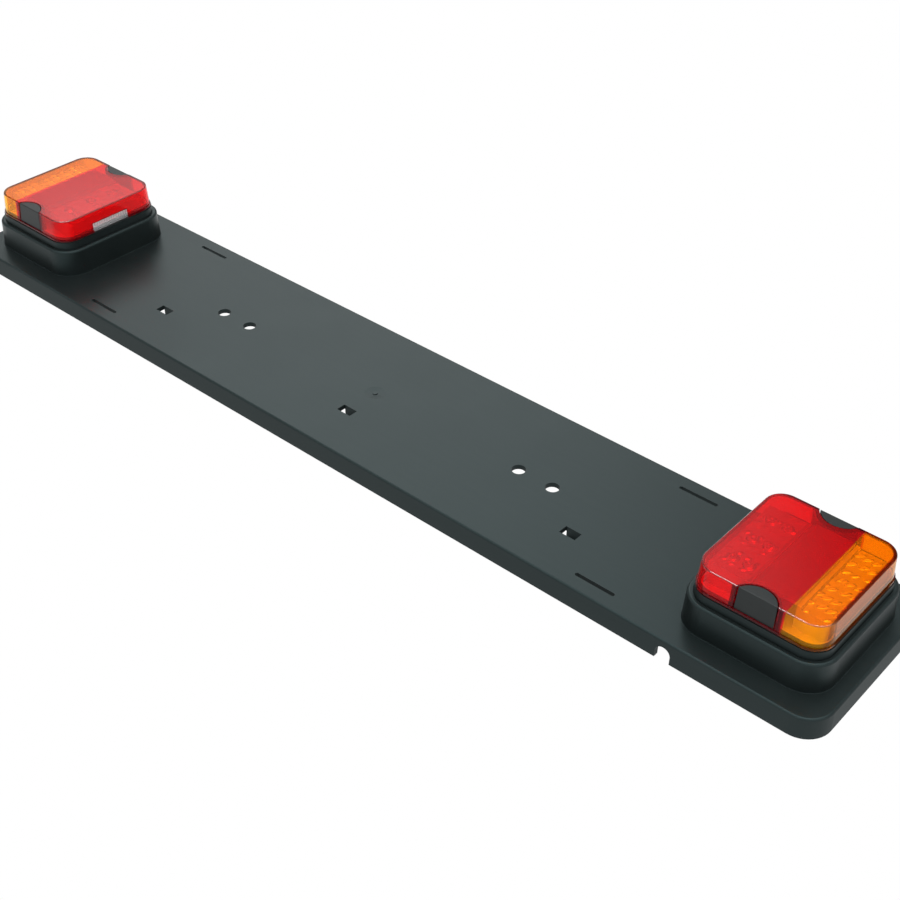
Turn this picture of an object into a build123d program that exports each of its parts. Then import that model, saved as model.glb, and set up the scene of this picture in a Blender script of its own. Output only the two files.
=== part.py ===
import os
from math import radians, tan

from build123d import *

os.makedirs("parts", exist_ok=True)

# Lens: length runs along the board, width across it
lens_length = 98.0
lens_width = 104.6
lens_height = 19.2
lens_corner = 16.0
lens_draft = 4.0
lens_wall = 2.2
lens_edge = 1.2
lens_lip = 0.6
lens_lip_rise = 1.5
amber_length = 29.5
notch_length = 30.6
notch_depth = 12.1
flange = 1.5
cover_gap = 0.8
cover_recess = 0.4
cover_edge = 0.6
window_length = 38.0
window_height = 8.0
window_thick = 1.6
window_recess = 1.3

# Lamp base under the lens, with its gasket
base_margin = 0.5
base_wall = 2.5
base_floor = 2.5
base_reveal = 6.5
gasket_thick = 0.8
gasket_width = 2.0
gasket_inset = 1.0
ledge_thick = 1.2
tongue_rise = 3.0
tongue_thick = 1.4
tongue_gap = 0.5

# Circuit board, lights and optics inside the lamp
bolt_spacing = 52.0
pcb_gap = 3.0
pcb_lift = 4.0
pcb_thick = 1.6
post_radius = 3.0
pin_radius = 1.5
pin_inset = 5.0
pin_rise = 1.0
led_size = 5.0
led_thick = 1.6
plate_led_size = 3.0
plate_led_gap = 0.5
plate_led_spacing = 9.5
optic_rim = 10.0
optic_gap = 0.8
optic_wall = 1.5
optic_rise = 15.0
dome_radius = 5.2
dome_rise = 2.2
dome_slope = 35.0
light_rows = 3
light_pitch = 23.7
light_columns = 12.1
reflector_length = 31.0
reflector_thick = 3.0

# Fasteners and the cable inlet
screw_radius = 1.9
screw_head = 3.5
screw_head_rise = 2.2
screw_back = 6.8
boss_radius = 5.0
bolt_radius = 2.5
bolt_clearance = 0.25
hex_flats = 8.0
bolt_head_rise = 3.5
washer_radius = 5.0
washer_thick = 1.0
nut_rise = 4.0
bolt_end = 2.0
inlet_radius = 5.0
inlet_bore = 2.8
inlet_flange = 2.0
inlet_lip = 1.4
inlet_drop = 5.5
inlet_clearance = 5.0

# Board moulding: a tray with its open side down and two hollow plinths
board_length = 878.0
skirt_height = 17.0
wall = 4.0
board_corner = 20.0
board_draft = 1.5
board_edge = 1.8
plinth_height = 23.5
plinth_draft = 3.0
plinth_edge = 2.0
plinth_foot = 0.4
rim_width = 3.7
seat_depth = 3.0
seat_clearance = 0.3
end_margin = 11.5
side_margin = 18.0

# Strap slots, fixing holes, cable hooks, cable notch and the gate mark
strap_spacing = 524.0
strap_length = 32.5
strap_width = 3.0
strap_inset = 13.8
hole_radius = 5.5
hole_spacing = 31.5
hole_first = 146.0
hook_spacing = 218.0
hook_window_length = 13.5
hook_window_width = 8.0
hook_back = 31.5
hook_side = 0.6
hook_thick = 2.0
hook_gap = 7.5
cable_notch = 11.5
cable_notch_along = 327.0
gate_radius = 8.5
gate_depth = 0.5
gate_nub = 2.0
rib_thick = 1.8
rib_depth = 7.0
rail_spacing = 36.0
rung_first = 100.0
rung_end = 12.0

# Heights inside the lamp, counted from the seat it stands on
base_height = seat_depth + base_reveal
lens_foot = base_height + gasket_thick
lens_top = lens_foot + lens_height
lens_ceiling = lens_top - lens_wall
flange_top = lens_foot + flange
pcb_foot = base_floor + pcb_lift
pcb_top = pcb_foot + pcb_thick
optic_top = pcb_top + optic_rise

# Outlines that follow from the lens
base_length = lens_length + 2 * base_margin
base_width = lens_width + 2 * base_margin
base_corner = lens_corner + base_margin
seat_length = base_length + 2 * seat_clearance
seat_width = base_width + 2 * seat_clearance
seat_corner = base_corner + seat_clearance
plinth_flare = plinth_height * tan(radians(plinth_draft))
plinth_length = seat_length + 2 * rim_width + 2 * plinth_flare
plinth_width = seat_width + 2 * rim_width + 2 * plinth_flare
plinth_corner = seat_corner + rim_width + plinth_flare
board_width = plinth_width + 2 * side_margin
lamp_x = board_length / 2 - end_margin - plinth_length / 2
seat_z = skirt_height + plinth_height - seat_depth
tray_ceiling = skirt_height - wall
amber_border = lens_length / 2 - amber_length
screw_y = lens_width / 2 - screw_back
bolt_y = bolt_spacing / 2
pcb_length = base_length - 2 * base_wall - 2 * pcb_gap
pcb_width = base_width - 2 * base_wall - 2 * pcb_gap
pcb_corner = base_corner - base_wall - pcb_gap
pin_x = pcb_length / 2 - pin_inset
pin_y = pcb_width / 2 - pin_inset
tongue_inset = lens_lip + lens_wall + tongue_gap
tongue_length = lens_length - 2 * tongue_inset
tongue_width = lens_width - 2 * tongue_inset
tongue_corner = lens_corner - tongue_inset
optic_width = pcb_width - 2 * optic_rim
optic_margin = tongue_inset + tongue_thick + 2 * optic_gap
indicator_length = amber_length - optic_margin
indicator_x = amber_border + optic_gap + indicator_length / 2
tail_length = lens_length - amber_length - reflector_length - optic_margin
tail_x = amber_border - reflector_length - optic_gap - tail_length / 2
strap_x = strap_spacing / 2
strap_y = board_width / 2 - strap_inset
hole_last = hole_first + hole_spacing
hook_arm_top = tray_ceiling - hook_gap
hook_length = hook_window_length - 2 * hook_side
dish_radius = (gate_radius**2 + gate_depth**2) / (2 * gate_depth)
rail_y = rail_spacing / 2

notch_radius = (notch_length**2 / 4 + notch_depth**2) / (2 * notch_depth)
notch_y = lens_width / 2 - notch_depth + notch_radius

lamp_sides = [(0, screw_y), (0, -screw_y)]
notch_spots = [(0, notch_y), (0, -notch_y)]
lamp_bolt_spots = [(0, bolt_y), (0, -bolt_y)]
pin_spots = [(pin_x, pin_y), (pin_x, -pin_y), (-pin_x, pin_y), (-pin_x, -pin_y)]


def light_spots(middle):
    """Places of the lights under one optic: two columns, in rows across the lamp."""
    rows = [light_pitch * (k - (light_rows - 1) / 2) for k in range(light_rows)]
    return [(middle + side * light_columns / 2, y) for side in (-1, 1) for y in rows]


def lens_block(inset, top, edge):
    """Drafted block of the lens wall, drawn in by inset all round and by top at the top."""
    step = lens_lip + inset
    with BuildPart() as block:
        with BuildSketch(Plane.XY.offset(lens_foot)):
            RectangleRounded(lens_length - 2 * step, lens_width - 2 * step, lens_corner - step)
        extrude(amount=lens_height - top, taper=lens_draft)
        if edge > 0:
            fillet(block.faces().sort_by(Axis.Z)[-1].edges(), edge)
    return block.part


def ring(length, width, corner, rim, foot, rise):
    """Flat ring of one rounded outline."""
    with BuildPart() as loop:
        with BuildSketch(Plane.XY.offset(foot)):
            RectangleRounded(length, width, corner)
            RectangleRounded(length - 2 * rim, width - 2 * rim, corner - rim, mode=Mode.SUBTRACT)
        extrude(amount=rise)
    return loop.part


def light_grid(middle):
    """Two columns of surface lights on the circuit board."""
    with BuildPart() as lights:
        with BuildSketch(Plane.XY.offset(pcb_top)):
            with Locations(light_spots(middle)):
                Rectangle(led_size, led_size)
        extrude(amount=led_thick)
    return lights.part


def optic_box(middle, length):
    """Opal box over a grid of lights, with a cone over each of them."""
    with BuildPart() as optic:
        with BuildSketch(Plane.XY.offset(pcb_top)):
            with Locations((middle, 0)):
                Rectangle(length, optic_width)
        extrude(amount=optic_rise)
        with BuildSketch(Plane.XY.offset(pcb_top)):
            with Locations((middle, 0)):
                Rectangle(length - 2 * optic_wall, optic_width - 2 * optic_wall)
        extrude(amount=optic_rise - optic_wall, mode=Mode.SUBTRACT)
        with BuildSketch(Plane.XY.offset(optic_top)):
            with Locations(light_spots(middle)):
                Circle(dome_radius)
        extrude(amount=dome_rise, taper=dome_slope)
    return optic.part


def hex_piece(foot, rise, bore):
    """Hexagon heads or nuts at the lamp's two bolt places."""
    with BuildPart() as hexes:
        with BuildSketch(Plane.XY.offset(foot)):
            with Locations(lamp_bolt_spots):
                RegularPolygon(hex_flats / 2, 6, major_radius=False)
                if bore > 0:
                    Circle(bore, mode=Mode.SUBTRACT)
        extrude(amount=rise)
    return hexes.part


def place_each(shape, name):
    """Writes one piece of the right lamp and the same piece of the left lamp, turned half round."""
    right = Pos(lamp_x, 0, seat_z) * shape
    right.label = "right_" + name
    export_step(right, "parts/right_" + name + ".step")
    left = Rot(0, 0, 180) * right
    left.label = "left_" + name
    export_step(left, "parts/left_" + name + ".step")


def place_all(shape, name):
    """Writes the like small pieces of both lamps as one group."""
    right = Pos(lamp_x, 0, seat_z) * shape
    left = Rot(0, 0, 180) * right
    group = Compound(label=name, children=right.solids() + left.solids())
    export_step(group, "parts/" + name + ".step")


# Board: outer form
with BuildPart() as light_board:
    with BuildSketch():
        RectangleRounded(board_length, board_width, board_corner)
    extrude(amount=skirt_height, taper=board_draft)
    fillet(light_board.faces().sort_by(Axis.Z)[-1].edges(), board_edge)
    with BuildSketch(Plane.XY.offset(skirt_height)):
        with Locations((lamp_x, 0), (-lamp_x, 0)):
            RectangleRounded(plinth_length, plinth_width, plinth_corner)
    extrude(amount=plinth_height, taper=plinth_draft)
    made = light_board.edges(Select.LAST)
    fillet(made.group_by(Axis.Z)[0], plinth_foot)
    fillet(light_board.edges().group_by(Axis.Z)[-1], plinth_edge)

    # seats for the two lamps
    with BuildSketch(Plane.XY.offset(seat_z)):
        with Locations((lamp_x, 0), (-lamp_x, 0)):
            RectangleRounded(seat_length, seat_width, seat_corner)
    extrude(amount=seat_depth, mode=Mode.SUBTRACT)

    # hollow underside, with the plinths open into it
    with BuildSketch():
        RectangleRounded(board_length - 2 * wall, board_width - 2 * wall, board_corner - wall)
    extrude(amount=tray_ceiling, taper=board_draft, mode=Mode.SUBTRACT)
    with BuildSketch(Plane.XY.offset(tray_ceiling)):
        with Locations((lamp_x, 0), (-lamp_x, 0)):
            RectangleRounded(plinth_length - 2 * wall, plinth_width - 2 * wall, plinth_corner - wall)
    extrude(amount=seat_z - wall - tray_ceiling, taper=plinth_draft, mode=Mode.SUBTRACT)

    # stiffening rails and rungs under the top
    rail_length = 2 * (lamp_x - plinth_length / 2 + wall / 2)
    rungs = [0, rung_first, hook_spacing, lamp_x - plinth_length / 2 - rung_end]
    with BuildSketch(Plane.XY.offset(tray_ceiling - rib_depth)):
        with Locations((0, rail_y), (0, -rail_y)):
            Rectangle(rail_length, rib_thick)
        for along in rungs:
            with Locations((along, 0), (-along, 0)):
                Rectangle(rib_thick, rail_spacing)
        for along in rungs[1:3]:
            with Locations((along, rail_y), (-along, rail_y)):
                Rectangle(rib_thick, board_width / 2 - rail_y - wall, align=(Align.CENTER, Align.MIN))
    extrude(amount=rib_depth + wall / 2)

    # cable hooks, each under its own window
    for along in (-hook_spacing, 0, hook_spacing):
        stem_y = hook_window_width / 2 - hook_back
        with BuildSketch(Plane.XY.offset(tray_ceiling)):
            with Locations((along, -hook_back)):
                Rectangle(hook_window_length, hook_window_width)
        extrude(amount=wall, mode=Mode.SUBTRACT)
        with BuildSketch(Plane.YZ.offset(along - hook_length / 2)):
            with BuildLine():
                Polyline(
                    (stem_y, tray_ceiling + wall / 2),
                    (stem_y, hook_arm_top),
                    (stem_y - hook_window_width, hook_arm_top),
                    (stem_y - hook_window_width, hook_arm_top - hook_thick),
                    (stem_y + hook_thick, hook_arm_top - hook_thick),
                    (stem_y + hook_thick, tray_ceiling + wall / 2),
                    close=True,
                )
            make_face()
        extrude(amount=hook_length)

    # strap slots
    with BuildSketch(Plane.XY.offset(tray_ceiling)):
        with GridLocations(strap_spacing, 2 * strap_y, 2, 2):
            SlotOverall(strap_length, strap_width)
    extrude(amount=wall, mode=Mode.SUBTRACT)

    # a pair of fixing holes on each side of the middle
    with BuildSketch(Plane.XY.offset(tray_ceiling)):
        with Locations((-hole_first, 0), (-hole_last, 0), (hole_first, 0), (hole_last, 0)):
            Circle(hole_radius)
    extrude(amount=wall, mode=Mode.SUBTRACT)

    # holes for the lamp bolts and the cable inlets
    with BuildSketch(Plane.XY.offset(seat_z - wall)):
        for side in (lamp_x, -lamp_x):
            with Locations((side, bolt_y), (side, -bolt_y)):
                Circle(bolt_radius + bolt_clearance)
            with Locations((side, 0)):
                Circle(inlet_radius + inlet_flange + inlet_clearance)
    extrude(amount=wall, mode=Mode.SUBTRACT)

    # cable notch through the front skirt
    with BuildSketch(Plane.XZ.offset(board_width / 2 - 2 * wall)):
        with Locations((cable_notch_along, 0)):
            Rectangle(cable_notch, cable_notch / 2, align=(Align.CENTER, Align.MIN))
        with Locations((cable_notch_along, cable_notch / 2)):
            Circle(cable_notch / 2)
    extrude(amount=3 * wall, mode=Mode.SUBTRACT)

    # dished gate mark with its nub in the middle of the top
    with Locations((0, 0, skirt_height - gate_depth + dish_radius)):
        Sphere(dish_radius, mode=Mode.SUBTRACT)
    with BuildSketch(Plane.XY.offset(tray_ceiling + wall / 2)):
        Circle(gate_nub)
    extrude(amount=wall / 2)
light_board.part.label = "light_board"
export_step(light_board.part, "parts/light_board.step")

# Lamp base: a low tray with a tongue inside the lens, screw bosses and pins for the circuit board
with BuildPart() as lamp_base:
    with BuildSketch():
        RectangleRounded(base_length, base_width, base_corner)
    extrude(amount=base_height)
    with BuildSketch(Plane.XY.offset(base_floor)):
        RectangleRounded(base_length - 2 * base_wall, base_width - 2 * base_wall, base_corner - base_wall)
    extrude(amount=base_height - base_floor, mode=Mode.SUBTRACT)
    add(ring(base_length - base_wall, base_width - base_wall, base_corner - base_wall / 2,
             tongue_inset + tongue_thick + base_margin - base_wall / 2, base_height - ledge_thick, ledge_thick))
    with BuildSketch(Plane.XY.offset(base_height)):
        RectangleRounded(tongue_length, tongue_width, tongue_corner)
        inner_length = tongue_length - 2 * tongue_thick
        inner_width = tongue_width - 2 * tongue_thick
        RectangleRounded(inner_length, inner_width, tongue_corner - tongue_thick, mode=Mode.SUBTRACT)
        with Locations(notch_spots):
            Circle(notch_radius + lens_wall + tongue_gap, mode=Mode.SUBTRACT)
    extrude(amount=gasket_thick + tongue_rise)
    with BuildSketch(Plane.XY.offset(base_floor)):
        with Locations(lamp_sides):
            Circle(boss_radius)
    extrude(amount=base_height - base_floor)
    with BuildSketch(Plane.XY.offset(base_floor)):
        with Locations(pin_spots):
            Circle(post_radius)
    extrude(amount=pcb_lift)
    with BuildSketch(Plane.XY.offset(base_floor)):
        with Locations(pin_spots):
            Circle(pin_radius)
    extrude(amount=pcb_lift + pcb_thick + pin_rise)
    with BuildSketch(Plane.XY.offset(base_floor)):
        with Locations(lamp_sides):
            Circle(screw_radius)
    extrude(amount=base_height - base_floor, mode=Mode.SUBTRACT)
    with BuildSketch():
        with Locations(lamp_bolt_spots):
            Circle(bolt_radius)
        Circle(inlet_radius)
    extrude(amount=base_floor, mode=Mode.SUBTRACT)
lamp_base.part.label = "lamp_base"
place_each(lamp_base.part, "lamp_base")

# Gasket between base and lens
gasket_length = base_length - 2 * gasket_inset
gasket_across = base_width - 2 * gasket_inset
gasket_corner = base_corner - gasket_inset
lens_gasket = ring(gasket_length, gasket_across, gasket_corner, gasket_width, base_height, gasket_thick)
place_each(lens_gasket, "lens_gasket")

# Lens shell: drafted cap with a walled notch at each side, a flange closing the notch's foot
lens_outer = lens_block(0, 0, lens_edge)
lens_inner = lens_block(lens_wall, lens_wall, 0)
with BuildPart() as lens_cap:
    add(lens_outer)
    with BuildSketch(Plane.XY.offset(lens_foot)):
        RectangleRounded(lens_length, lens_width, lens_corner)
    extrude(amount=lens_lip_rise)
with BuildPart() as lens_shell:
    add(lens_cap.part)
    add(lens_inner, mode=Mode.SUBTRACT)
    with BuildSketch(Plane.XY.offset(lens_foot)):
        with Locations(notch_spots):
            Circle(notch_radius + lens_wall)
    extrude(amount=lens_height)
    add(lens_cap.part, mode=Mode.INTERSECT)
    with BuildSketch(Plane.XY.offset(flange_top)):
        with Locations(notch_spots):
            Circle(notch_radius)
    extrude(amount=lens_height, mode=Mode.SUBTRACT)
    with BuildSketch(Plane.XY.offset(lens_foot)):
        with Locations(lamp_sides):
            Circle(screw_radius)
    extrude(amount=flange, mode=Mode.SUBTRACT)

# Red part of the lens, with an opening for the clear window
window_middle = lens_foot + window_height / 2
with BuildPart() as lens_red:
    add(lens_shell.part)
    with Locations((amber_border + lens_length, 0, lens_foot)):
        Box(2 * lens_length, 2 * lens_width, 3 * lens_height, mode=Mode.SUBTRACT)
    with Locations((-lens_length / 2, 0, window_middle)):
        Box(4 * lens_wall, window_length, window_height, mode=Mode.SUBTRACT)
place_each(lens_red.part, "lens_red")

# Amber part, joined to the red part along the border
with BuildPart() as lens_amber:
    add(lens_shell.part)
    with Locations((amber_border - lens_length, 0, lens_foot)):
        Box(2 * lens_length, 2 * lens_width, 3 * lens_height, mode=Mode.SUBTRACT)
place_each(lens_amber.part, "lens_amber")

# Clear window for the number plate, low in the inner wall
with BuildPart() as plate_light_window:
    with Locations((window_recess - lens_length / 2, 0, lens_foot)):
        Box(window_thick, window_length, window_height, align=(Align.MIN, Align.CENTER, Align.MIN))
place_each(plate_light_window.part, "plate_light_window")

# Covers that fill the notches over the lens screws
cover_form = lens_block(cover_recess, cover_recess, cover_edge)
with BuildPart() as lens_screw_covers:
    with BuildSketch(Plane.XY.offset(flange_top)):
        with Locations(notch_spots):
            Circle(notch_radius - cover_gap)
    extrude(amount=lens_height)
    add(cover_form, mode=Mode.INTERSECT)
    with BuildSketch(Plane.XY.offset(flange_top)):
        with Locations(lamp_sides):
            Circle(screw_head + cover_gap / 2)
    extrude(amount=screw_head_rise + cover_gap, mode=Mode.SUBTRACT)
place_all(lens_screw_covers.part, "lens_screw_covers")

# Screws that hold the lens on the base
with BuildPart() as lens_screws:
    with BuildSketch(Plane.XY.offset(flange_top)):
        with Locations(lamp_sides):
            Circle(screw_head)
    extrude(amount=screw_head_rise)
    with BuildSketch(Plane.XY.offset(base_floor)):
        with Locations(lamp_sides):
            Circle(screw_radius)
    extrude(amount=flange_top - base_floor)
place_all(lens_screws.part, "lens_screws")

# Circuit board, cut out round the screw bosses
with BuildPart() as circuit_board:
    with BuildSketch(Plane.XY.offset(pcb_foot)):
        RectangleRounded(pcb_length, pcb_width, pcb_corner)
        with Locations(lamp_sides):
            Circle(boss_radius + pcb_gap / 2, mode=Mode.SUBTRACT)
        with Locations(pin_spots):
            Circle(pin_radius, mode=Mode.SUBTRACT)
    extrude(amount=pcb_thick)
place_each(circuit_board.part, "circuit_board")

place_each(light_grid(tail_x), "tail_stop_leds")
place_each(light_grid(indicator_x), "indicator_leds")
place_each(optic_box(tail_x, tail_length), "tail_optic")
place_each(optic_box(indicator_x, indicator_length), "indicator_optic")

# Two small lights inside the tail optic, next to the number plate window
plate_led_x = tail_x - tail_length / 2 + optic_wall + plate_led_gap + plate_led_size / 2
plate_led_y = plate_led_spacing / 2
with BuildPart() as plate_leds:
    with BuildSketch(Plane.XY.offset(pcb_top)):
        with Locations((plate_led_x, plate_led_y), (plate_led_x, -plate_led_y)):
            Rectangle(plate_led_size, plate_led_size)
    extrude(amount=led_thick)
place_each(plate_leds.part, "plate_leds")

# Reflex reflector under the plain part of the lens
with BuildPart() as reflex_reflector:
    with BuildSketch(Plane.XY.offset(lens_ceiling - reflector_thick)):
        with Locations((amber_border - reflector_length / 2, 0)):
            Rectangle(reflector_length, lens_width - 2 * (notch_depth + lens_wall) - pcb_gap)
    extrude(amount=reflector_thick)
place_each(reflex_reflector.part, "reflex_reflector")

# Bolts, washers and nuts that hold the lamp on the board
bolt_length = base_floor + wall + washer_thick + nut_rise + bolt_end
with BuildPart() as lamp_bolts:
    add(hex_piece(base_floor, bolt_head_rise, 0))
    with BuildSketch(Plane.XY.offset(base_floor - bolt_length)):
        with Locations(lamp_bolt_spots):
            Circle(bolt_radius)
    extrude(amount=bolt_length)
place_all(lamp_bolts.part, "lamp_bolts")

with BuildPart() as lamp_washers:
    with BuildSketch(Plane.XY.offset(-wall - washer_thick)):
        with Locations(lamp_bolt_spots):
            Circle(washer_radius)
            Circle(bolt_radius + bolt_clearance, mode=Mode.SUBTRACT)
    extrude(amount=washer_thick)
place_all(lamp_washers.part, "lamp_washers")
place_all(hex_piece(-wall - washer_thick - nut_rise, nut_rise, bolt_radius), "lamp_nuts")

# Rubber inlet for the cable, buttoned into the base's floor
with BuildPart() as cable_inlet:
    with BuildSketch(Plane.XZ):
        with BuildLine():
            Polyline(
                (inlet_bore, base_floor + inlet_lip),
                (inlet_radius + inlet_flange, base_floor + inlet_lip),
                (inlet_radius + inlet_flange, base_floor),
                (inlet_radius, base_floor),
                (inlet_radius, 0),
                (inlet_radius + inlet_flange, 0),
                (inlet_radius + inlet_flange, -wall),
                (inlet_radius, -inlet_drop),
                (inlet_bore, -inlet_drop),
                close=True,
            )
        make_face()
    revolve(axis=Axis.Z)
place_each(cable_inlet.part, "cable_inlet")
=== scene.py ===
from math import cos, pi, radians, sin

import bpy
import numpy as np
from mathutils import Matrix, Vector


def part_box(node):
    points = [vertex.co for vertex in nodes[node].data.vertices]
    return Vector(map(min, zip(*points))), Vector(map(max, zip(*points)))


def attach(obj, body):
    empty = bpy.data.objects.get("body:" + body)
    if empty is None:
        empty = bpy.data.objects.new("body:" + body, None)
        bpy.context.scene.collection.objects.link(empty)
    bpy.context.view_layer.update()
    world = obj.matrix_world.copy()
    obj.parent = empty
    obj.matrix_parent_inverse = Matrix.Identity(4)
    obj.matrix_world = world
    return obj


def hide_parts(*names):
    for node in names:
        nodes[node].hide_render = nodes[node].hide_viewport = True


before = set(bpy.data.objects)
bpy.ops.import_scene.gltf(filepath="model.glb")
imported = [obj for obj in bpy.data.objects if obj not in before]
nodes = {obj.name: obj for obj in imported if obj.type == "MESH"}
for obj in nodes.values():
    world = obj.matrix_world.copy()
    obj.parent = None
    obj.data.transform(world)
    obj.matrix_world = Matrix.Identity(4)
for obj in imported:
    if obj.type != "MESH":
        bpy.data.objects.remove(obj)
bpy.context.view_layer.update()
print("frame loaded:", len(nodes), "nodes")

sides = {"right": 1.0, "left": -1.0}  # the left lamp is the right one turned half round


# one output of a node tree as a number: every operator adds a Math node
class Signal:
    def __init__(self, paint, socket):
        self.paint = paint
        self.socket = socket

    def math(self, operation, first, second=0.0):
        return self.paint.node("ShaderNodeMath", {"operation": operation}, {0: first, 1: second})

    def __add__(self, other):
        return self.math("ADD", self, other)

    def __radd__(self, other):
        return self.math("ADD", other, self)

    def __sub__(self, other):
        return self.math("SUBTRACT", self, other)

    def __rsub__(self, other):
        return self.math("SUBTRACT", other, self)

    def __mul__(self, other):
        return self.math("MULTIPLY", self, other)

    def __rmul__(self, other):
        return self.math("MULTIPLY", other, self)

    def __pow__(self, other):
        return self.math("POWER", self, other)

    def __gt__(self, other):
        return self.math("GREATER_THAN", self, other)

    def __lt__(self, other):
        return self.math("LESS_THAN", self, other)

    def __abs__(self):
        return self.math("ABSOLUTE", self)

    def least(self, other):
        return self.math("MINIMUM", self, other)

    def most(self, other):
        return self.math("MAXIMUM", self, other)

    # 0 below low, 1 above high, smooth between
    def rise(self, low, high):
        sockets = {0: self, 1: low, 2: high, 3: 0.0, 4: 1.0}
        return self.paint.node("ShaderNodeMapRange", {"interpolation_type": "SMOOTHSTEP"}, sockets)

    # a noise as a change about zero: its distance from one half, times the width
    def spread(self, width):
        return (self - 0.5) * width


# a node tree that is filled by one method
class Paint:
    def __init__(self, tree):
        self.tree = tree
        tree.nodes.clear()

    # type, settings first, then the values or links of its sockets; gives the output asked for
    def node(self, kind, settings, sockets, out=0):
        made = self.tree.nodes.new(kind)
        for key, value in settings.items():
            setattr(made, key, value)
        for key, value in sockets.items():
            if isinstance(value, Signal):
                self.tree.links.new(value.socket, made.inputs[key])
            else:
                made.inputs[key].default_value = value
        return Signal(self, made.outputs[out]) if len(made.outputs) else None

    # Object coordinates
    def place(self):
        return self.node("ShaderNodeTexCoord", {}, {}, "Object")

    # a vector's three shares
    def parts(self, vector):
        apart = self.node("ShaderNodeSeparateXYZ", {}, {0: vector})
        return [Signal(self, output) for output in apart.socket.node.outputs]

    # upward share of the surface's direction: 1 on a flat top, 0 on a wall
    def upward(self):
        return self.parts(self.node("ShaderNodeNewGeometry", {}, {}, "Normal"))[2]

    # cloudy values about one half
    def noise(self, vector, scale, detail, rough):
        sockets = {"Vector": vector, "Scale": scale, "Detail": detail, "Roughness": rough}
        return self.node("ShaderNodeTexNoise", {}, sockets)

    # a vector times a scale, axis by axis
    def stretched(self, vector, scale):
        return self.node("ShaderNodeMapping", {"vector_type": "POINT"}, {"Vector": vector, "Scale": scale})

    # first colour where the share is 0, second where it is 1
    def blend(self, share, first, second):
        return self.node("ShaderNodeMix", {"data_type": "RGBA"}, {0: share, 6: first, 7: second}, 2)

    # a normal that leans with the height
    def bump(self, height, strength, distance):
        sockets = {"Height": height, "Strength": strength, "Distance": distance}
        return self.node("ShaderNodeBump", {}, sockets)

    # sockets by name, with an underscore for a space
    def principled(self, **sockets):
        named = {key.replace("_", " "): value for key, value in sockets.items()}
        return self.node("ShaderNodeBsdfPrincipled", {}, named)

    # the shader as the material's surface
    def surface(self, shader):
        self.node("ShaderNodeOutputMaterial", {}, {"Surface": shader})


# an empty material and the paint that fills it
def newPaint(name):
    material = bpy.data.materials.new(name)
    material.use_nodes = True
    return material, Paint(material.node_tree)


# red, green and blue with full cover
def colour(*rgb):
    return (*rgb, 1.0)


boardTop = 0.017  # level of the board's flat top
mould = {
    "flowStretch": (3.0, 40.0, 40.0), "flowScale": 6.0, "flowShare": 0.3,  # streaks along the board
    "shadeFrom": 0.3, "shadeTo": 0.7,  # noise that gives the darker and the lighter grey
    "wallTo": 0.15, "flatFrom": 0.85, "flatFull": 0.98,  # upward shares of walls, slopes and flats
    "cornerFrom": 0.00002, "cornerTo": 0.0006, "cornerTilt": 0.985, "cornerDull": 0.5,  # a plinth's foot
    "cloudGloss": 0.08, "grainGloss": 0.05, "grainHeight": 0.00008,
}


# moulded plastic: two greys mixed by slow cloudiness and streaks, fine grain in the normal, gloss that
# varies a little and is duller on edges, on the skirt, in the tray and in the corner at a plinth's foot
def mouldedPlastic(name, look):
    material, p = newPaint(name)
    at = p.place()
    z = p.parts(at)[2]
    upward = p.upward()
    cloud = p.noise(at, look["cloudScale"], detail=3.0, rough=0.55)
    grain = p.noise(at, look["grainScale"], detail=2.0, rough=0.6)
    flow = p.noise(p.stretched(at, mould["flowStretch"]), mould["flowScale"], detail=3.0, rough=0.5)
    shade = cloud * (1.0 - mould["flowShare"]) + flow * mould["flowShare"]
    shade = shade.rise(mould["shadeFrom"], mould["shadeTo"])
    corner = (z > boardTop + mould["cornerFrom"]) * (z < boardTop + mould["cornerTo"])
    corner = corner * (upward < mould["cornerTilt"])
    steep = 1.0 - upward.rise(mould["flatFrom"], mould["flatFull"])
    steep = steep * (upward > mould["wallTo"]).most(z < boardTop)
    steep = steep.most(z < look["dullBelow"])
    varied = look["rough"] + cloud.spread(mould["cloudGloss"]) + grain.spread(mould["grainGloss"])
    p.surface(p.principled(
        Base_Color=p.blend(shade, colour(*look["dark"]), colour(*look["light"])),
        Roughness=varied + (corner * mould["cornerDull"]).most(steep * look["dull"]),
        Specular_IOR_Level=look["gloss"],
        Specular_Tint=colour(*look["sheen"]),
        Normal=p.bump(grain, look["grain"], mould["grainHeight"])))
    return material


boardTone = {"dark": (0.0036, 0.0046, 0.0046), "light": (0.0058, 0.0072, 0.0072),
             "sheen": (0.66, 0.98, 1.0), "rough": 0.38, "gloss": 0.31}  # the lamp bases have it too
plasticLooks = {
    "boardPlastic": {**boardTone, "dull": 0.24, "dullBelow": 0.0135,
                     "cloudScale": 22.0, "grainScale": 2200.0, "grain": 0.15},
    "coverPlastic": {"dark": (0.009, 0.0105, 0.0105), "light": (0.012, 0.0135, 0.0135),
                     "sheen": (0.92, 0.99, 1.0), "rough": 0.38, "gloss": 0.24, "dull": 0.0, "dullBelow": 0.0,
                     "cloudScale": 60.0, "grainScale": 2600.0, "grain": 0.12},
    "sealRubber": {"dark": (0.010, 0.010, 0.011), "light": (0.016, 0.016, 0.017),
                   "sheen": (1.0, 1.0, 1.0), "rough": 0.7, "gloss": 0.4, "dull": 0.0, "dullBelow": 0.0,
                   "cloudScale": 80.0, "grainScale": 1500.0, "grain": 0.3},
}
finishes = {name: mouldedPlastic(name, look) for name, look in plasticLooks.items()}


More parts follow.
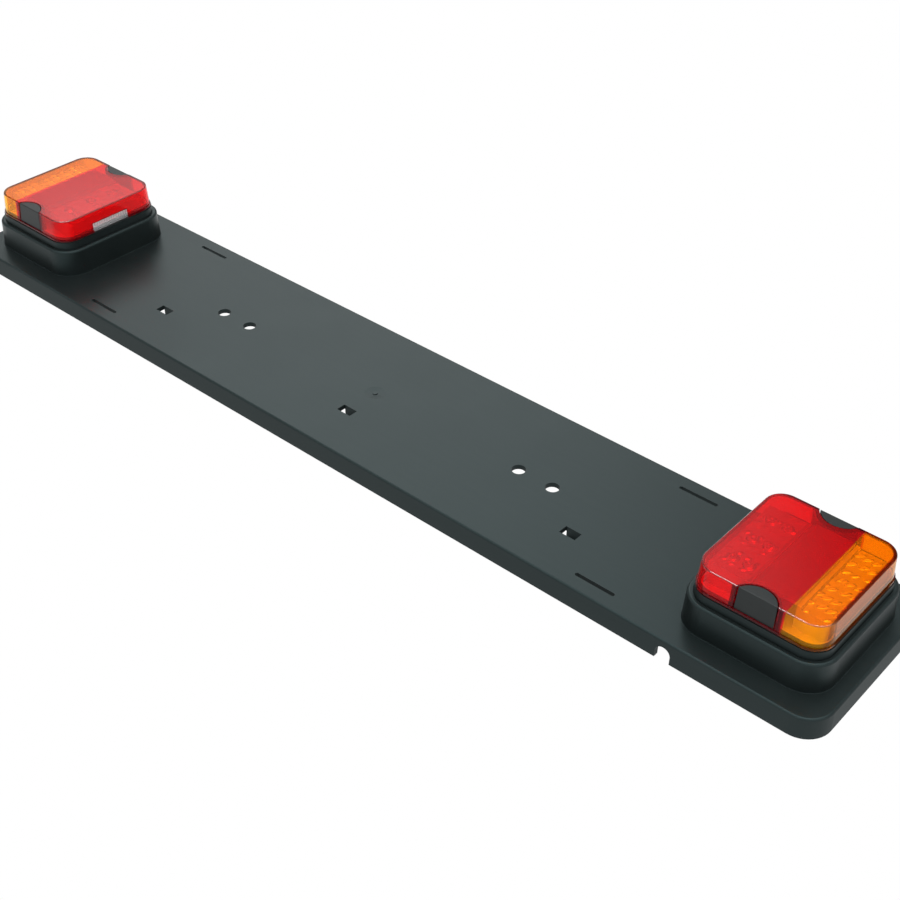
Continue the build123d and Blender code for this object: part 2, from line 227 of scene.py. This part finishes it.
# how far inside a rounded rectangle a place is: the corner's radius less the distance from the corner's
# middle, or the nearer side's distance between the corners
def depthInside(x, y, look):
    overX = abs(x) - (look["halfLength"] - look["corner"])
    overY = abs(y) - (look["halfWidth"] - look["corner"])
    outwards = (overX.most(0.0) ** 2.0 + overY.most(0.0) ** 2.0) ** 0.5
    return look["corner"] - outwards - overX.most(overY).least(0.0)


# lamp base: dark like the board, and white inside its tongue, by the depth inside a rounded rectangle; the
# white is painted light that makes the lamp's inside bright
def basePlastic(name, look):
    material, p = newPaint(name)
    at = p.place()
    x, y, z = p.parts(at)
    # painted light: the inside of the tongue is white, brightening the lamp's inside
    inside = (depthInside(abs(x) - lampX, y, look) > look["whiteFrom"]) * (z > look["whiteAbove"])
    cloud = p.noise(at, look["cloudScale"], detail=3.0, rough=0.55)
    grain = p.noise(at, look["grainScale"], detail=2.0, rough=0.6)
    dark = p.blend(cloud, colour(*look["dark"]), colour(*look["light"]))
    white = p.blend(cloud, colour(*look["whiteLow"]), colour(*look["white"]))
    steep = 1.0 - p.upward().rise(mould["flatFrom"], mould["flatFull"])
    p.surface(p.principled(
        Base_Color=p.blend(inside, dark, white),
        Roughness=look["rough"] + cloud.spread(mould["cloudGloss"]) + steep * look["dull"],
        Specular_IOR_Level=look["gloss"],
        Specular_Tint=colour(*look["sheen"]),
        Normal=p.bump(grain, look["grain"], mould["grainHeight"])))
    return material


baseLow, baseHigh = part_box("right_lamp_base")
lampX = (baseLow.x + baseHigh.x) / 2  # the right lamp's middle along the board
baseFloor = 0.0015  # left dark at the base's foot
baseLook = {
    "halfLength": (baseHigh.x - baseLow.x) / 2, "halfWidth": baseHigh.y, "corner": 0.0165,
    "whiteFrom": 0.0042, "whiteAbove": baseLow.z + baseFloor,
    # white inside the tongue as painted light
    "whiteLow": (0.84, 0.84, 0.83), "white": (0.90, 0.90, 0.89),
    "dull": 0.12, "cloudScale": 40.0, "grainScale": 2400.0, "grain": 0.12, **boardTone,
}
finishes["basePlastic"] = basePlastic("basePlastic", baseLook)


# coloured clear plastic: a wall takes the tint once, and a small share of light stays in it as body colour;
# the walls take a lighter tint than the top as painted light; rounded edges, the lip, the top's rim at the
# back and the outer end, the outer end wall and the walls round a screw cover are darkened with painted
# shade, and the faces where red and amber are joined let light straight through
def clearPlastic(name, look):
    material, p = newPaint(name)
    at = p.place()
    x, y, z = p.parts(at)
    upward = p.upward()
    alongLamp = abs(x) - lampX  # grows towards the board's end
    joined = abs(alongLamp - lensBorder) < look["jointHalf"]
    flow = p.noise(p.stretched(at, look["flowStretch"]), look["flowScale"], detail=2.0, rough=0.5)
    edge = 1.0 - upward.rise(look["topFrom"], look["topFull"])
    edge = upward.rise(look["edgeFrom"], look["edgeFull"]) * edge
    cover = (abs(alongLamp) < look["notchHalf"]) * (abs(y) > look["notchFrom"])
    cover = cover * (abs(upward) < look["coverTilt"])
    backward = (y + alongLamp).rise(0.0, look["backFade"])
    inner = depthInside(alongLamp, y, look).rise(look["rimWidth"], look["rimWidth"] + look["rimFade"])
    rim = backward * (1.0 - inner) * (upward > look["wallTo"])
    lip = z < look["lipTop"]
    endWall = alongLamp.rise(look["endFrom"], look["endFull"]) * (upward < look["wallTo"])
    # painted shade: rounded edges, the walls round a screw cover, the top's rim at the back and the outer
    # end, the lip and the outer end wall are blended towards the dark edge colour
    paintedShade = edge * look["edgeShade"]
    for mask, depth in ((cover, "coverShade"), (rim, "rimShade"), (lip, "lipShade"), (endWall, "endShade")):
        paintedShade = paintedShade.most(mask * look[depth])
    tone = p.blend(flow, colour(*look["deep"]), colour(*look["thin"]))
    # painted light: the walls take a lighter tint than the top
    tone = p.blend(upward.rise(look["tintFrom"], look["tintFull"]), tone, colour(*look["top"]))
    p.surface(p.principled(
        Base_Color=p.blend(paintedShade, tone, colour(*look["edge"])),
        Roughness=look["rough"] + flow.spread(look["flowGloss"]),
        IOR=look["ior"],
        Specular_Tint=colour(*look["glint"]),
        Alpha=1.0 - joined,
        Coat_Weight=edge * (1.0 - backward),
        Coat_Roughness=look["coatRough"],
        Coat_IOR=look["coatIor"],
        Transmission_Weight=look["clear"]))
    return material


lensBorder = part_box("right_lens_amber")[0].x - lampX  # where amber begins, from the lamp's middle
lensShared = {
    "jointHalf": 0.00002, "flowStretch": (18.0, 9.0, 30.0), "flowScale": 4.0, "flowGloss": 0.02,
    # painted light: the walls get the lighter deep and thin tints, the top its darker tint
    "tintFrom": 0.5, "tintFull": 0.95,  # upward shares between the walls' tint and the top's
    # shares of painted shade on rounded edges, round a screw cover, on the back rim, on the lip and on the
    # outer end wall
    "edgeFrom": 0.12, "edgeFull": 0.35, "topFrom": 0.85, "topFull": 0.97, "edgeShade": 0.75,
    "notchHalf": 0.0182, "notchFrom": 0.0375, "coverTilt": 0.5, "coverShade": 0.88,
    "halfLength": 0.04706, "halfWidth": 0.05036, "corner": 0.0141,  # outline of the lens's top
    "wallTo": 0.4, "backFade": 0.015, "rimWidth": 0.0023, "rimFade": 0.0008, "rimShade": 0.97,
    "lipTop": 0.0495, "lipShade": 0.65, "endFrom": 0.0440, "endFull": 0.0462, "endShade": 0.6,
    "coatRough": 0.08, "coatIor": 1.6,
}
# edge: the dark colour of the painted shade; top: the top's darker tint, set against the walls' lighter deep
# and thin tints as painted light
lensLooks = {
    "redLens": {**lensShared, "deep": (0.93, 0.014, 0.018), "thin": (0.95, 0.022, 0.028),
                "top": (0.745, 0.012, 0.016), "edge": (0.10, 0.004, 0.012), "glint": (1.0, 0.50, 0.52),
                "rough": 0.03, "ior": 1.265, "clear": 0.82},
    "amberLens": {**lensShared, "deep": (0.99, 0.46, 0.002), "thin": (1.0, 0.54, 0.003),
                  "top": (0.89, 0.29, 0.001), "edge": (0.30, 0.018, 0.002), "glint": (1.0, 0.60, 0.32),
                  "rough": 0.03, "ior": 1.265, "clear": 0.88, "lipShade": 0.8},
    "clearWindow": {**lensShared, "deep": (0.95, 0.95, 0.96), "thin": (0.98, 0.98, 0.99),
                    "top": (0.95, 0.95, 0.96), "edge": (0.60, 0.60, 0.62), "glint": (1.0, 1.0, 1.0),
                    "rough": 0.06, "ior": 1.45, "clear": 0.78},
}
finishes.update({name: clearPlastic(name, look) for name, look in lensLooks.items()})


satin = {"stainScale": 90.0, "streakScale": 60.0, "streakGloss": 0.16, "streakBump": 0.08,
         "streakHeight": 0.00005,
         "sideTo": 0.3, "slopeTo": 0.90, "flatFrom": 0.985}  # upward shares of sides, slopes and flats


# satin metal or glossy plastic: streaks in the gloss, faint stain in the colour, its sides in a tone of their
# own, which on the optics is a much lighter tone as painted light, and slopes that mirror more than flats
def satinMetal(name, look):
    material, p = newPaint(name)
    at = p.place()
    upward = p.upward()
    streak = p.noise(p.stretched(at, look["streak"]), satin["streakScale"], detail=3.0, rough=0.6)
    stain = p.noise(at, satin["stainScale"], detail=3.0, rough=0.6)
    tone = p.blend(stain, colour(*look["dark"]), colour(*look["light"]))
    slope = (1.0 - upward.rise(satin["slopeTo"], satin["flatFrom"])) * (upward > satin["sideTo"])
    p.surface(p.principled(
        # painted light on the optics: their sides take the lighter sides tone
        Base_Color=p.blend(upward < satin["sideTo"], tone, colour(*look["sides"])),
        Metallic=look["metal"] + look["slopeMetal"] * slope,
        Roughness=look["rough"] + streak.spread(satin["streakGloss"]),
        Normal=p.bump(streak, satin["streakBump"], satin["streakHeight"])))
    return material


metalLooks = {
    "zincSteel": {"dark": (0.52, 0.53, 0.54), "light": (0.70, 0.70, 0.69), "sides": (0.61, 0.61, 0.61),
                  "metal": 1.0, "slopeMetal": 0.0, "rough": 0.34, "streak": (1, 1, 12)},
    # the optics' sides are much lighter than their tops, as painted light
    "opalOptic": {"dark": (0.42, 0.42, 0.42), "light": (0.47, 0.47, 0.47), "sides": (0.88, 0.88, 0.88),
                  "metal": 0.05, "slopeMetal": 0.72, "rough": 0.12, "streak": (6, 1, 1)},
    "silverOptic": {"dark": (0.64, 0.64, 0.64), "light": (0.70, 0.70, 0.70), "sides": (0.94, 0.94, 0.94),
                    "metal": 0.05, "slopeMetal": 0.88, "rough": 0.15, "streak": (6, 1, 1)},
}
finishes.update({name: satinMetal(name, look) for name, look in metalLooks.items()})


# circuit board: white lacquer, with the lines between cells as greyer tracks a little lower
def boardLacquer(name, look):
    material, p = newPaint(name)
    at = p.place()
    sockets = {"Vector": at, "Scale": look["cellScale"]}
    toTrack = p.node("ShaderNodeTexVoronoi", {"feature": "DISTANCE_TO_EDGE"}, sockets)
    cell = toTrack.rise(look["trackHalf"], look["cellFrom"])
    cloud = p.noise(at, look["cloudScale"], detail=2.0, rough=0.5)
    p.surface(p.principled(
        Base_Color=p.blend(cell, colour(*look["track"]), colour(*look["lacquer"])),
        Roughness=look["rough"] + cloud.spread(look["cloudGloss"]),
        Normal=p.bump(cell, look["step"], look["stepHeight"])))
    return material


lacquerLook = {"track": (0.78, 0.80, 0.76), "lacquer": (0.90, 0.90, 0.89), "rough": 0.35,
               "cellScale": 130.0, "trackHalf": 0.02, "cellFrom": 0.05, "step": 0.2, "stepHeight": 0.00004,
               "cloudScale": 300.0, "cloudGloss": 0.1}
finishes["whiteLacquer"] = boardLacquer("whiteLacquer", lacquerLook)


# light chip: pale case, mottled with its yellow field
def chipCase(name, look):
    material, p = newPaint(name)
    speck = p.noise(p.place(), look["speckScale"], detail=2.0, rough=0.5)
    p.surface(p.principled(
        Base_Color=p.blend(speck, colour(*look["case"]), colour(*look["field"])),
        Roughness=look["rough"] + speck.spread(look["speckGloss"])))
    return material


chipLook = {"case": (0.85, 0.85, 0.82), "field": (0.80, 0.66, 0.25), "rough": 0.4,
            "speckScale": 900.0, "speckGloss": 0.1}
finishes["lightChip"] = chipCase("lightChip", chipLook)


# reflex sheet: cloudy grey with a trace of red, which the lens over it turns to a deep red, and pale sides as
# painted light
def reflexSheet(name, look):
    material, p = newPaint(name)
    cloud = p.noise(p.place(), look["cloudScale"], detail=2.0, rough=0.5)
    tone = p.blend(cloud, colour(*look["dark"]), colour(*look["light"]))
    p.surface(p.principled(
        Base_Color=p.blend(p.upward() < look["sideTo"], tone, colour(*look["sides"])),
        Roughness=look["rough"] + cloud.spread(look["cloudGloss"])))
    return material


# sides: a pale tone as painted light where the slope at the lights' side would lie in shade
reflexLook = {"dark": (0.25, 0.22, 0.22), "light": (0.30, 0.25, 0.25), "sides": (0.90, 0.86, 0.82),
              "rough": 0.30, "sideTo": 0.2, "cloudScale": 30.0, "cloudGloss": 0.1}
finishes["reflexRed"] = reflexSheet("reflexRed", reflexLook)
print("finishes made:", len(finishes))

# which finish each CAD piece takes
nodeFinish = {"light_board": "boardPlastic", "lens_screw_covers": "coverPlastic", "lens_screws": "zincSteel",
              "lamp_bolts": "zincSteel", "lamp_washers": "zincSteel", "lamp_nuts": "zincSteel"}
lampFinish = {"lamp_base": "basePlastic", "lens_gasket": "sealRubber", "lens_red": "redLens",
              "lens_amber": "amberLens", "plate_light_window": "clearWindow", "reflex_reflector": "reflexRed",
              "circuit_board": "whiteLacquer", "tail_stop_leds": "lightChip", "indicator_leds": "lightChip",
              "plate_leds": "lightChip", "tail_optic": "opalOptic", "indicator_optic": "silverOptic",
              "cable_inlet": "sealRubber"}
for side in sides:
    nodeFinish.update({f"{side}_{piece}": finish for piece, finish in lampFinish.items()})
for name, finish in nodeFinish.items():
    nodes[name].data.materials.clear()
    nodes[name].data.materials.append(finishes[finish])
print("CAD pieces finished:", len(nodeFinish))

sharpFrom = 38.0  # degrees between faces that meet at a sharp edge


# vertices and faces as a shown piece that rides on the body and stands for a CAD piece
def showPiece(name, points, faces, finish, stands):
    mesh = bpy.data.meshes.new(name)
    mesh.from_pydata(points.reshape(-1, 3).tolist(), [], faces)
    mesh.polygons.foreach_set("use_smooth", np.ones(len(mesh.polygons), bool))
    mesh.set_sharp_from_angle(angle=radians(sharpFrom))
    mesh.materials.append(finishes[finish])
    piece = bpy.data.objects.new(name, mesh)
    bpy.context.scene.collection.objects.link(piece)
    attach(piece, "root")
    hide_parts(stands)


# the right lamp's piece, and the same one turned half round for the left lamp
def showPair(name, points, faces, finish, stands):
    for side, sign in sides.items():
        turned = points * (sign, sign, 1)
        showPiece(f"{side}_{name}", turned, faces, finish, f"{side}_{stands}")


# quads of a grid of points, row by row, closed round the rows or the columns where asked
def gridQuads(rows, columns, roundRows=False, roundColumns=False, first=0):
    number = np.arange(rows * columns).reshape(rows, columns) + first
    here, down = (number, np.roll(number, -1, 0)) if roundRows else (number[:-1], number[1:])
    if roundColumns:
        quads = np.stack([here, np.roll(here, -1, 1), np.roll(down, -1, 1), down], -1)
    else:
        quads = np.stack([here[:, :-1], here[:, 1:], down[:, 1:], down[:, :-1]], -1)
    return quads.reshape(-1, 4).tolist()


# evenly spaced places from low to high, about a step apart
def spaced(low, high, step):
    return np.linspace(low, high, round((high - low) / step))


# a height field over x and y with straight sides down to a flat foot
def slabOnFoot(across, along, height, foot):
    x, y = np.meshgrid(along, across)
    top = np.stack([x, y, height(x, y)], -1)
    rows, columns = x.shape
    number = np.arange(rows * columns).reshape(rows, columns)
    loop = np.concatenate([number[0, :-1], number[:-1, -1], number[-1, :0:-1], number[:0:-1, 0]])
    below = top.reshape(-1, 3)[loop] * (1, 1, 0) + (0, 0, foot)
    under = rows * columns + np.arange(len(loop))
    walls = np.stack([under, np.roll(under, -1), np.roll(loop, -1), loop], -1)
    points = np.concatenate([top.reshape(-1, 3), below])
    return points, gridQuads(rows, columns) + walls.tolist() + [under[::-1].tolist()]


# optic over the lights: a round dome with a dimple for each, short strokes round the domes, and a rim
# beside the reflex sheet
opticLooks = {
    "tail_optic": {"finish": "opalOptic", "step": 0.00035, "domeRadius": 0.0046, "domeRise": 0.0016,
                   "dimple": 0.0008, "dimpleRadius": 0.0012, "strokeRise": 0.0010, "strokePitch": 0.0052,
                   "strokeWidth": 0.0012, "strokeLength": 0.0150, "strokeReach": 0.0110,
                   "rimSide": 1.0, "rimRise": 0.0010, "rimWidth": 0.0004, "rimFall": 0.0030},
    "indicator_optic": {"finish": "silverOptic", "step": 0.00025, "domeRadius": 0.0046, "domeRise": 0.0005,
                        "dimple": 0.0003, "dimpleRadius": 0.0009, "strokeRise": 0.0016, "strokePitch": 0.0040,
                        "strokeWidth": 0.00095, "strokeLength": 0.0165, "strokeReach": 0.0125,
                        "rimSide": -1.0, "rimRise": 0.0021, "rimWidth": 0.0028, "rimFall": 0.0008},
}
opticDomes = 0.0022  # how far the domes may stand above the optic's flat top
domePower = 0.8  # below 1 makes a dome steeper at its foot
lightPlaces = {"rows": (-0.0237, 0.0, 0.0237), "columns": 0.0121}  # rows in y, distance of the columns
strokes = {"slant": radians(40.0), "shift": 0.31, "shiftTurn": 2.1, "fade": 4}  # shift in stroke lengths


# height = dome of (1 - r squared) to a power, less the dimple, plus bell-shaped strokes at a slant that come
# and go by a sine, each row shifted, and fade with distance from a light, or the rim at the reflex sheet's
# side where that is higher
def opticSlab(low, high, look):
    middle = (low.x + high.x) / 2

    def height(x, y):
        fromColumn = np.abs(np.abs(x - middle) - lightPlaces["columns"] / 2)
        fromRow = np.abs(y[..., None] - lightPlaces["rows"]).min(-1)
        away = np.hypot(fromColumn, fromRow)
        dome = np.clip(1 - (away / look["domeRadius"]) ** 2, 0, None)
        dimple = np.clip(1 - (away / look["dimpleRadius"]) ** 2, 0, None)
        onward = (x - middle) * cos(strokes["slant"]) + y * sin(strokes["slant"])
        beside = y * cos(strokes["slant"]) - (x - middle) * sin(strokes["slant"])
        row = np.round(beside / look["strokePitch"])
        bell = np.exp(-(((beside - row * look["strokePitch"]) / look["strokeWidth"]) ** 2))
        shift = strokes["shift"] * np.sin(row * strokes["shiftTurn"])
        gate = np.clip(np.sin((onward / look["strokeLength"] + shift) * 2 * pi), 0, None)
        near = np.exp(-((away / look["strokeReach"]) ** strokes["fade"])) * (1 - dome / 2)
        toSheet = (high.x - x) if look["rimSide"] > 0 else (x - low.x)
        rim = 1 - np.clip((toSheet - look["rimWidth"]) / look["rimFall"], 0, 1)
        raised = look["domeRise"] * dome**domePower - look["dimple"] * dimple
        raised = raised + look["strokeRise"] * bell * gate * near
        return high.z - opticDomes + np.maximum(raised, look["rimRise"] * rim)

    across = spaced(low.y, high.y, look["step"])
    return slabOnFoot(across, spaced(low.x, high.x, look["step"]), height, low.z)


for node, look in opticLooks.items():
    points, faces = opticSlab(*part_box("right_" + node), look)
    showPair(node + "_ribbed", points, faces, look["finish"], node)
print("optics made:", len(sides) * len(opticLooks))

prismLook = {"step": 0.0004, "prism": 0.0024, "prismRise": 0.0003, "clear": 0.0003, "slope": 0.0040}


# reflex sheet under the plain field: a top just clear of the lens, less low four-sided prisms by the greater
# of two slanted triangle waves, and less a straight slope down at the lights' side
def prismSlab(low, high, look):
    top = high.z - look["clear"]
    fall = top - low.z - 2 * look["prismRise"]

    def height(x, y):
        teeth = [np.abs((v / look["prism"]) % 1 - 0.5) * 2 for v in (x + y, x - y)]
        drop = np.clip(1 - (x - low.x) / look["slope"], 0, 1) * fall
        return top - drop - look["prismRise"] * np.maximum(*teeth)

    across = spaced(low.y, high.y, look["step"])
    return slabOnFoot(across, spaced(low.x, high.x, look["step"]), height, low.z)


points, faces = prismSlab(*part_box("right_reflex_reflector"), prismLook)
showPair("reflex_prisms", points, faces, "reflexRed", "reflex_reflector")
print("reflex sheets made:", len(sides))

windowLook = {"step": 0.00025, "flute": 0.0026, "fluteDepth": 0.0005, "levels": 3}
windowLow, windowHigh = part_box("right_plate_light_window")


# number plate window: flat outside, upright flutes inside by a half cosine of the distance along it
def windowInside(along, level):
    wave = 0.5 - 0.5 * np.cos(along / windowLook["flute"] * 2 * pi)
    return windowHigh.x - windowLook["fluteDepth"] * wave


windowAlong = spaced(windowLow.y, windowHigh.y, windowLook["step"])
windowLevels = np.linspace(windowLow.z, windowHigh.z, windowLook["levels"])
points, faces = slabOnFoot(windowLevels, windowAlong, windowInside, windowLow.x)
points = points[:, [2, 0, 1]]  # height of the slab turned to the lamp's length
showPair("plate_light_window_fluted", points, faces, "clearWindow", "plate_light_window")
print("windows made:", len(sides))

# bolts and nuts: rings of a hexagon (flats / cosine of the angle from the flat's middle) or a circle, one
# above another; flats is a flat's distance from the axis
boltLook = {"flats": 0.0040, "radius": 0.0025, "pitch": 0.0008, "threadDepth": 0.00042, "headRise": 0.0035,
            "nutBore": 0.00252, "chamfer": 0.0005, "chamferRadius": 0.0040, "columns": 72, "shankRows": 170}
angle = np.linspace(0, 2 * pi, boltLook["columns"], endpoint=False)
hexagon = boltLook["flats"] / np.cos(angle % (pi / 3) - pi / 6)
chamfered = np.minimum(hexagon, boltLook["chamferRadius"])


# a ring of points for each row of radii, at its level
def ringStack(radii, levels):
    z = np.broadcast_to(levels[:, None], radii.shape)
    return np.stack([radii * np.cos(angle), radii * np.sin(angle), z], -1)


# the same rings at the four bolt places, with flat caps where they do not close on themselves
def atBolts(rings, backY, closed):
    rows, columns = rings.shape[:2]
    places = [(x, y, 0) for x in (lampX, -lampX) for y in (backY, -backY)]
    points = np.concatenate([rings.reshape(-1, 3) + place for place in places])
    faces = []
    for first in range(0, len(points), rows * columns):
        faces += gridQuads(rows, columns, closed, True, first)
        if not closed:
            foot = np.arange(first, first + columns)
            head = foot + (rows - 1) * columns
            faces += [foot[::-1].tolist(), head.tolist()]
    return points, faces


# thread = radius less a cosine of the height in pitches and the turn, at the thread's foot all round the tip
boltLow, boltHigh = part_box("lamp_bolts")
boltY = boltHigh.y - boltLook["flats"]
headFoot = boltHigh.z - boltLook["headRise"]
shank = np.linspace(boltLow.z, headFoot, boltLook["shankRows"])
wave = 0.5 + 0.5 * np.cos(shank[:, None] / boltLook["pitch"] * 2 * pi - angle)
tip = np.clip((shank - boltLow.z) / boltLook["chamfer"], 0, 1)[:, None]
thread = boltLook["radius"] - boltLook["threadDepth"] * np.maximum(wave, 1 - tip)
headLevels = np.array([headFoot, boltHigh.z - boltLook["chamfer"], boltHigh.z])
head = ringStack(np.stack([hexagon, hexagon, chamfered]), headLevels)
points, faces = atBolts(np.concatenate([ringStack(thread, shank), head]), boltY, False)
showPiece("lamp_bolts_threaded", points, faces, "zincSteel", "lamp_bolts")

nutLow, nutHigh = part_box("lamp_nuts")
bore = np.full_like(hexagon, boltLook["nutBore"])
nutRadii = np.stack([chamfered, hexagon, hexagon, chamfered, bore, bore])
flatLevels = (nutLow.z + boltLook["chamfer"], nutHigh.z - boltLook["chamfer"])
nutLevels = np.array([nutLow.z, *flatLevels, nutHigh.z, nutHigh.z, nutLow.z])
points, faces = atBolts(ringStack(nutRadii, nutLevels), boltY, True)
showPiece("lamp_nuts_chamfered", points, faces, "zincSteel", "lamp_nuts")
print("bolts and nuts made")

# white floor, seen through from below
floorLook = {"half": 12.0, "level": -0.0004, "seen": 1.0, "light": 1.12}  # for the camera, for the part
floorCorners = np.array([(-1, -1, 0), (1, -1, 0), (1, 1, 0), (-1, 1, 0)]) * floorLook["half"]
floorMesh = bpy.data.meshes.new("floor")
floorMesh.from_pydata((floorCorners + (0, 0, floorLook["level"])).tolist(), [], [(0, 1, 2, 3)])
floor = bpy.data.objects.new("floor", floorMesh)
bpy.context.scene.collection.objects.link(floor)
floorMaterial, p = newPaint("floorPale")
seen = p.node("ShaderNodeLightPath", {}, {}, "Is Camera Ray")
bright = p.node("ShaderNodeEmission", {}, {"Color": colour(1, 1, 1), "Strength": floorLook["seen"]})
dim = p.node("ShaderNodeEmission", {}, {"Color": colour(1, 1, 1), "Strength": floorLook["light"]})
lit = p.node("ShaderNodeMixShader", {}, {0: seen, 1: dim, 2: bright})
fromBelow = p.node("ShaderNodeNewGeometry", {}, {}, "Backfacing")
clear = p.node("ShaderNodeBsdfTransparent", {}, {})
p.surface(p.node("ShaderNodeMixShader", {}, {0: fromBelow, 1: lit, 2: clear}))
floorMesh.materials.append(floorMaterial)

# soft light from a dome: dim all round, with a front or a horizon, whichever is brighter, a bright top, a
# spot near the top, and a glow behind that ends where the top begins; heights are upward shares
skyLook = {
    "seen": 1.0, "low": 0.06, "front": 1.0, "frontFrom": -0.2, "frontFull": 0.4,
    "horizon": 1.05, "horizonFrom": 0.12, "horizonTo": 0.30,
    "above": 1.85, "aboveFrom": 0.62, "aboveFull": 0.84,
    "glow": 3.35, "glowTurn": 136.0, "glowInner": 0.17, "glowOuter": 0.355,
    "glowFoot": 0.36, "glowHead": 0.52,
    "spot": 11.0, "spotAt": (0.22, 0.03, 0.97), "spotFull": 7.0, "spotEdge": 12.0,
}
world = bpy.data.worlds.new("studio")
bpy.context.scene.world = world
world.use_nodes = True
p = Paint(world.node_tree)
toward = p.node("ShaderNodeTexCoord", {}, {}, "Generated")
eastward, northward, height = p.parts(toward)
turn = radians(skyLook["glowTurn"])
beside = abs(eastward * sin(turn) - northward * cos(turn))
behind = eastward * cos(turn) + northward * sin(turn)
top = height.rise(skyLook["aboveFrom"], skyLook["aboveFull"])
glow = (1.0 - beside.rise(skyLook["glowInner"], skyLook["glowOuter"])) * (behind > 0.0)
glow = glow * height.rise(skyLook["glowFoot"], skyLook["glowHead"]) * (1.0 - top) * skyLook["glow"]
front = (0.0 - behind).rise(skyLook["frontFrom"], skyLook["frontFull"]) * skyLook["front"]
horizon = (1.0 - height.rise(skyLook["horizonFrom"], skyLook["horizonTo"])) * skyLook["horizon"]
spotAt = Vector(skyLook["spotAt"]).normalized()
toSpot = eastward * spotAt.x + northward * spotAt.y + height * spotAt.z
spot = toSpot.rise(cos(radians(skyLook["spotEdge"])), cos(radians(skyLook["spotFull"]))) * skyLook["spot"]
strength = skyLook["low"] + front.most(horizon) + top * skyLook["above"] + spot + glow
seen = p.node("ShaderNodeLightPath", {}, {}, "Is Camera Ray")
strength = strength * (1.0 - seen) + seen * skyLook["seen"]
dome = p.node("ShaderNodeBackground", {}, {"Color": colour(1, 1, 1), "Strength": strength})
p.node("ShaderNodeOutputWorld", {}, {"Surface": dome})

# a lamp seen only in mirror-like surfaces, for the thin light lines on rounded edges
edgeLook = {"place": (-0.13, -0.79, 1.39), "to": (0.37, -0.05, 0.06), "size": 0.60, "power": 10.0}
edgeLight = bpy.data.lights.new("edgeLight", "AREA")
edgeLight.shape = "DISK"
edgeLight.size = edgeLook["size"]
edgeLight.energy = edgeLook["power"]
edgeLamp = bpy.data.objects.new("edgeLight", edgeLight)
aim = (Vector(edgeLook["place"]) - Vector(edgeLook["to"])).to_track_quat("Z", "Y").to_matrix()
edgeLamp.matrix_world = Matrix.Translation(edgeLook["place"]) @ aim.to_4x4()
edgeLamp.visible_camera = False
edgeLamp.visible_diffuse = False
edgeLamp.visible_transmission = False
bpy.context.scene.collection.objects.link(edgeLamp)

cameraLook = {"place": (0.6489, -0.6573, 0.6683), "forward": (-0.51976, 0.59931, -0.60884), "roll": 0.62,
              "lens": 57.18, "sensor": 36.0, "nearest": 0.01, "farthest": 100.0}
cameraData = bpy.data.cameras.new("camera")
cameraData.lens = cameraLook["lens"]
cameraData.sensor_width = cameraLook["sensor"]
cameraData.clip_start = cameraLook["nearest"]
cameraData.clip_end = cameraLook["farthest"]
camera = bpy.data.objects.new("camera", cameraData)
bpy.context.scene.collection.objects.link(camera)
aim = Vector(cameraLook["forward"]).to_track_quat("-Z", "Y").to_matrix()
aim = aim @ Matrix.Rotation(radians(cameraLook["roll"]), 3, "Z")
camera.matrix_world = Matrix.Translation(cameraLook["place"]) @ aim.to_4x4()
bpy.context.scene.camera = camera
bpy.context.scene.view_settings.view_transform = "Standard"
print("stage set")
